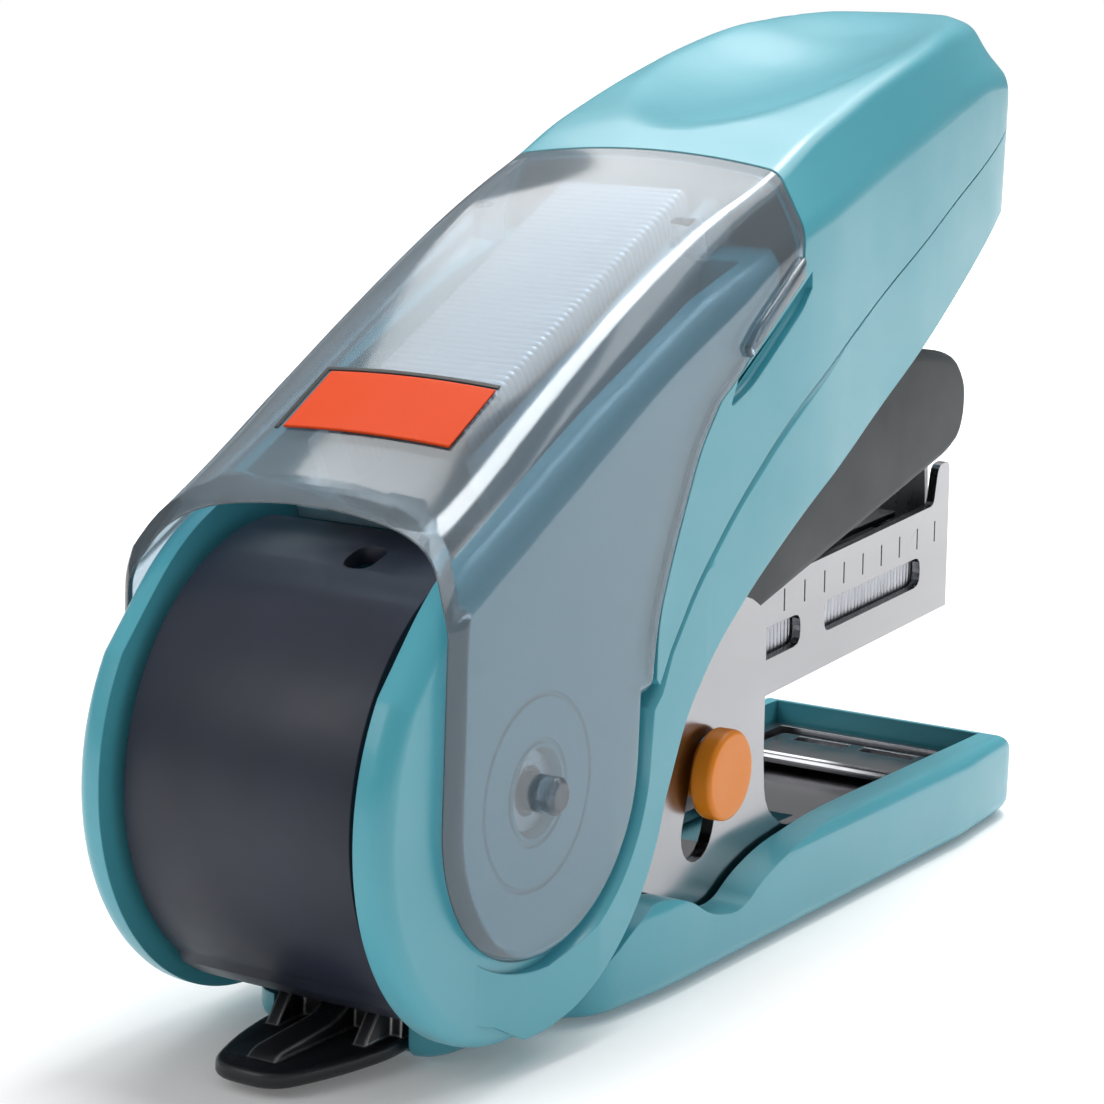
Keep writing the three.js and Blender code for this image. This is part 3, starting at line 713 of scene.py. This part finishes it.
def staple_remover():
    tongue = [[-2.0, -4.1], [-4.4, -4.2, 1], [-8.2, -3.5, 2], [-12.0, -2.1, 1.6]]
    tongue += [[x, -y, *r] for x, y, *r in reversed(tongue)]
    body = prism("tongue", tongue, 0.6, 1.5, flat="xy", bevel=0.25, segments=3)
    body = join(body, block(-2.9, -2.0, -4.0, 4.0, 1.2, 5.2))
    body = join(body, block(-2.9, 2.4, -4.0, 4.0, 4.4, 5.2))
    ridge = [[-10.6, 1.2], [-2.4, 1.2], [-2.4, 3.6], [-4.2, 2.3, 1], [-9.8, 1.9, 0.6]]
    for y in (-3.3, 2.5):
        gusset = [[-5.6, 1.2], [-2.4, 1.2], [-2.4, 4.6], [-3.4, 4.0, 0.8]]
        body = join(body, prism("gusset", gusset, y, y + 0.8))
    body = join(body, prism("ridge", ridge, -0.9, 0.9))
    body = soften(body, 0.16)
    return finish_piece(body, "remover_tongue", "base", PAINT, "black_paint", "staple_remover")


def turned(name, profile, steps=64):
    """A solid of revolution about Y, from (radius, y) points that start and end on the axis."""
    verts = [(0, profile[0][1], 0)]
    inner = profile[1:-1]
    for r, y in inner:
        angles = np.linspace(0, 2 * math.pi, steps, endpoint=False)
        verts += [(r * math.cos(a), y, r * math.sin(a)) for a in angles]
    verts.append((0, profile[-1][1], 0))
    last = len(verts) - 1
    faces = []
    for i in range(steps):
        j = (i + 1) % steps
        faces.append([0, 1 + i, 1 + j])
        for k in range(len(inner) - 1):
            a, b = 1 + k * steps, 1 + (k + 1) * steps
            faces.append([a + i, b + i, b + j, a + j])
        end = 1 + (len(inner) - 1) * steps
        faces.append([last, end + j, end + i])
    return mesh_object(name, verts, faces)


def link_knob(label, side):
    rim, heel = 0.35, 0.25
    edge = arc(rim, 90, 0, 6, (KNOB_R - rim, KNOB_FACE - rim))
    back = arc(heel, 0, -90, 4, (KNOB_R - heel, 8.4))
    profile = [[0, 9.5], [KNOB_R * 0.55, 9.5], *edge, *back, [1.7, 8.15], [1.7, 6.6]]
    profile += [[1.2, 6.6], [1.2, 8.5], [0, 8.5]]
    body = turned("knob", [[r, side * y] for r, y in profile])
    body.data.transform(Matrix.Translation((LINK.x, 0, LINK.z)))
    return finish_piece(body, "knob_" + label, "magazine", ORANGE, "orange_plastic", "link_knob_" + label)


def on_crown(x, y, lift):
    """A point on the lid's crown, lifted off it."""
    half = half_section(x, 0.0)
    crown = half[: CROWN_STEPS + BEND_STEPS]
    ys = [p[0] for p in crown]
    zs = [p[1] for p in crown]
    return (x, y, float(np.interp(abs(y), ys, zs)) + lift)


def patch(name, x0, x1, y0, y1, low, high):
    """A thin sheet that follows the crown."""
    columns, rows = 14, 20
    verts = []
    for lift in (low, high):
        for x in np.linspace(x0, x1, columns):
            verts += [on_crown(x, y, lift) for y in np.linspace(y0, y1, rows)]
    layer = columns * rows
    faces = []
    for c in range(columns - 1):
        for r in range(rows - 1):
            a = c * rows + r
            faces.append([a, a + 1, a + rows + 1, a + rows])
            faces.append([layer + a, layer + a + rows, layer + a + rows + 1, layer + a + 1])
    rim = [c * rows for c in range(columns)] + [(columns - 1) * rows + r for r in range(1, rows)]
    rim += [c * rows + rows - 1 for c in range(columns - 2, -1, -1)] + list(range(rows - 2, 0, -1))
    for i, a in enumerate(rim):
        b = rim[(i + 1) % len(rim)]
        faces.append([a, b, layer + b, layer + a])
    return mesh_object(name, verts, faces)


def lid_label():
    """A plain label, with a thin dark line along two of its edges: a painted shadow of the edge of the
    label's recess.
    """
    face = patch("label", -2.1, 2.3, -5.4, 5.3, 0.08, 0.2)
    finish_piece(face, "label_face", "cover", orange_label(), "orange_label", "lid_label")
    # The two dark lines are painted shadow along two edges of the label.
    for edges in ((2.55, 2.8, -5.4, 5.9), (-2.1, 2.55, 5.65, 5.9)):
        line = patch("line", *edges, 0.02, 0.1)
        finish_piece(line, "label_shadow_line", "cover", painted_label_shadow(), "orange_label")


def staples(name, u_front, top, legs, at, tilt):
    """A strip of single staples: each a flattened wire with a crown and two legs."""
    verts, faces = [], []
    section = [(math.cos(a), math.sin(a)) for a in np.linspace(0, 2 * math.pi, 10, endpoint=False)]
    turn = Matrix.Translation(at) @ Matrix.Rotation(-tilt, 4, "Y")
    half = WIRE / 2
    outer = CROWN_HALF - half
    corner = arc(STAPLE_CORNER, 90, 0, 4, (outer - STAPLE_CORNER, top - half - STAPLE_CORNER))
    right = [(outer, top - legs)] + corner[::-1]
    path = [(-y, w) for y, w in right] + [(y, w) for y, w in right[::-1]]
    for i in range(STAPLES):
        u = u_front - (i + 0.5) * STAPLE_PITCH
        base = len(verts)
        for k, (y, w) in enumerate(path):
            ahead = np.array(path[min(k + 1, len(path) - 1)]) - np.array(path[max(k - 1, 0)])
            normal = unit(np.array([-ahead[1], ahead[0]]))
            for c, s in section:
                out = normal * s * half
                verts.append(turn @ Vector((u + c * STAPLE_PITCH * 0.49, y + out[0], w + out[1])))
        n = len(section)
        for k in range(len(path) - 1):
            for c in range(n):
                d = (c + 1) % n
                a, b = base + k * n, base + (k + 1) * n
                faces.append([a + c, a + d, b + d, b + c])
        faces.append([base + c for c in range(n)])
        faces.append([base + (len(path) - 1) * n + c for c in range(n - 1, -1, -1)])
    return mesh_object(name, verts, faces)


def strips():
    spare = staples("spare", 0, 0, SPARE_LEG, BAY_FRONT, BAY_TILT)
    finish_piece(spare, "spare_staples", "handle", STAPLE, "staples", "refill_strip", angle=60)
    loaded = staples("loaded", STRIP_FRONT, STRIP_TOP, STAPLE_LEG, (0, 0, HUB_Z), MAG_TILT)
    finish_piece(loaded, "loaded_staples", "magazine", STAPLE, "staples", "staple_strip", angle=60)


def coil(name, radius, wire, turns, start, end, steps):
    """A wire wound about the line from start to end."""
    line = Vector(end) - Vector(start)
    along = line.normalized()
    side = along.cross(Vector((0, 1, 0))).normalized()
    other = along.cross(side)
    verts, faces = [], []
    n = 10
    for i in range(steps + 1):
        a = 2 * math.pi * turns * i / steps
        out = side * math.cos(a) + other * math.sin(a)
        centre = Vector(start) + line * (i / steps) + out * radius
        for k in range(n):
            b = 2 * math.pi * k / n
            verts.append(centre + out * wire * math.cos(b) + along * wire * math.sin(b))
    for i in range(steps):
        for k in range(n):
            j = (k + 1) % n
            faces.append([i * n + k, i * n + j, (i + 1) * n + j, (i + 1) * n + k])
    faces.append(list(range(n)))
    faces.append([steps * n + k for k in range(n - 1, -1, -1)])
    return mesh_object(name, verts, faces)


def pusher_spring():
    """A coil spring about the pusher rod, between the two ends given along the magazine."""
    turn = Matrix.Translation((0, 0, HUB_Z)) @ Matrix.Rotation(-MAG_TILT, 4, "Y")
    start, end = (turn @ Vector((u, 0, ROD_W)) for u in SPRING_ENDS)
    body = coil("spring", 1.5, 0.22, 11, start, end, 360)
    body = finish_piece(body, "pusher_coil", "magazine", SPRING, "spring_steel", "pusher_spring", angle=80)
    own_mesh(body)


def dress_cad_nodes():
    """The CAD nodes that stay in view get their materials, and rounded edges."""
    looks = {
        "base_pad": RUBBER,
        "base_frame": NICKEL,
        "anvil": NICKEL,
        "hub_axle": TOOL_STEEL,
        "return_spring": SPRING,
        "refill_bay": FROSTED,
        "lid_pin_left": CLEAR,
        "lid_pin_right": CLEAR,
        "driver_blade": TOOL_STEEL,
        "magazine_channel": NICKEL,
        "staple_rail": NICKEL,
        "staple_cover_leaf": NICKEL,
        "guide_rod": TOOL_STEEL,
        "link_pin": TOOL_STEEL,
        "staple_pusher": BLACK,
    }
    edges = {"base_frame": 0.12, "magazine_channel": 0.1, "anvil": 0.08}
    edges.update(staple_pusher=0.12, refill_bay=0.12)
    for name, material in looks.items():
        node = frame["nodes"][name]
        node.data.materials.clear()
        node.data.materials.append(material)
        if name in edges:
            node.modifiers.new("weld", "WELD").merge_threshold = 1e-6
            modifier = node.modifiers.new("edges", "BEVEL")
            modifier.width = edges[name] * MM
            modifier.segments = 2
            modifier.limit_method = "ANGLE"
            modifier.angle_limit = math.radians(35)


# ---- room ----


def floor():
    corners = [(-900, -900, 0), (2400, -900, 0), (2400, 2400, 0), (-900, 2400, 0)]
    obj = mesh_object("floor", corners, [[0, 1, 2, 3]])
    obj.data.transform(Matrix.Scale(MM, 4) @ Matrix.Translation((0, 0, -0.02)))
    look = plastic("floor_board", (0.9, 0.9, 0.9), 0.7, 2e-6, 600, 0.01)
    reach = look.nodes.new("ShaderNodeVectorMath")
    reach.operation = "LENGTH"
    look.link(look.place, reach.inputs[0])
    # Painted light: the floor glows, faintly near the stapler and more strongly farther from it, so that it
    # reads white.
    painted_glow = look.nodes.new("ShaderNodeMapRange")
    painted_glow.inputs["From Min"].default_value = 0.12
    painted_glow.inputs["From Max"].default_value = 0.7
    painted_glow.inputs["To Min"].default_value = 0.12
    painted_glow.inputs["To Max"].default_value = 0.85
    look.link(reach.outputs["Value"], painted_glow.inputs["Value"])
    look.shader.inputs["Emission Color"].default_value = (1, 1, 1, 1)
    look.link(painted_glow.outputs["Result"], look.shader.inputs["Emission Strength"])
    obj.data.materials.append(look.material)


def area_light(name, at, target, size, power, tall=None):
    light = bpy.data.lights.new(name, "AREA")
    light.shape = "RECTANGLE"
    light.size = size
    light.size_y = tall or size
    light.energy = power
    obj = bpy.data.objects.new(name, light)
    obj.location = at
    obj.rotation_euler = (Vector(target) - Vector(at)).to_track_quat("-Z", "Y").to_euler()
    bpy.context.scene.collection.objects.link(obj)
    return obj


def world():
    scene = bpy.context.scene
    scene.world = bpy.data.worlds.new("studio")
    scene.world.use_nodes = True
    tree = scene.world.node_tree
    place = tree.nodes.new("ShaderNodeTexCoord")
    split = tree.nodes.new("ShaderNodeSeparateXYZ")
    ramp = tree.nodes.new("ShaderNodeValToRGB")
    ramp.color_ramp.elements[0].position = 0.0
    ramp.color_ramp.elements[0].color = (0.32, 0.33, 0.35, 1)
    ramp.color_ramp.elements[1].position = 0.75
    ramp.color_ramp.elements[1].color = (1.0, 1.0, 1.0, 1)
    tree.links.new(place.outputs["Generated"], split.inputs["Vector"])
    tree.links.new(split.outputs["Z"], ramp.inputs["Fac"])
    tree.links.new(ramp.outputs["Color"], tree.nodes["Background"].inputs["Color"])
    tree.nodes["Background"].inputs["Strength"].default_value = 0.48
    backdrop = tree.nodes.new("ShaderNodeBackground")
    backdrop.inputs["Color"].default_value = (1.0, 1.0, 1.0, 1)
    path = tree.nodes.new("ShaderNodeLightPath")
    mix = tree.nodes.new("ShaderNodeMixShader")
    tree.links.new(path.outputs["Is Camera Ray"], mix.inputs["Fac"])
    tree.links.new(tree.nodes["Background"].outputs["Background"], mix.inputs[1])
    tree.links.new(backdrop.outputs["Background"], mix.inputs[2])
    tree.links.new(mix.outputs["Shader"], tree.nodes["World Output"].inputs["Surface"])
    scene.view_settings.view_transform = "Standard"


def lights():
    middle = (0.028, 0, 0.03)
    area_light("top", (0.29, 0.02, 0.48), middle, 0.75, 2.2, 0.3)
    area_light("key", (0.19, -0.01, 0.56), middle, 0.14, 1.7, 0.3)
    area_light("rear", (-0.4, 0.2, 0.3), middle, 0.25, 0.5)


def camera():
    """The photograph's viewpoint: behind, to the right and a little above, with a slight roll."""
    eye = Vector((-136.4, -92.2, 57.65)) * MM
    ahead = Vector((0.846, 0.502, -0.180)).normalized()
    right = Vector((0.516, -0.856, 0.037)).normalized()
    up = right.cross(ahead).normalized()
    right = ahead.cross(up)
    data = bpy.data.cameras.new("camera")
    data.lens = 100.5
    data.shift_x = -0.0088
    data.shift_y = 0.0037
    data.clip_start = 0.01
    data.clip_end = 20
    obj = bpy.data.objects.new("camera", data)
    obj.matrix_world = Matrix.Translation(eye) @ Matrix((right, up, -ahead)).transposed().to_4x4()
    bpy.context.scene.collection.objects.link(obj)
    bpy.context.scene.camera = obj


lid()
handle_shell()
handle_frame()
rear_shield()
base_shell()
driver_arm()
staple_remover()
link_knob("left", 1)
link_knob("right", -1)
lid_label()
strips()
pusher_spring()
dress_cad_nodes()
floor()
world()
lights()
camera()
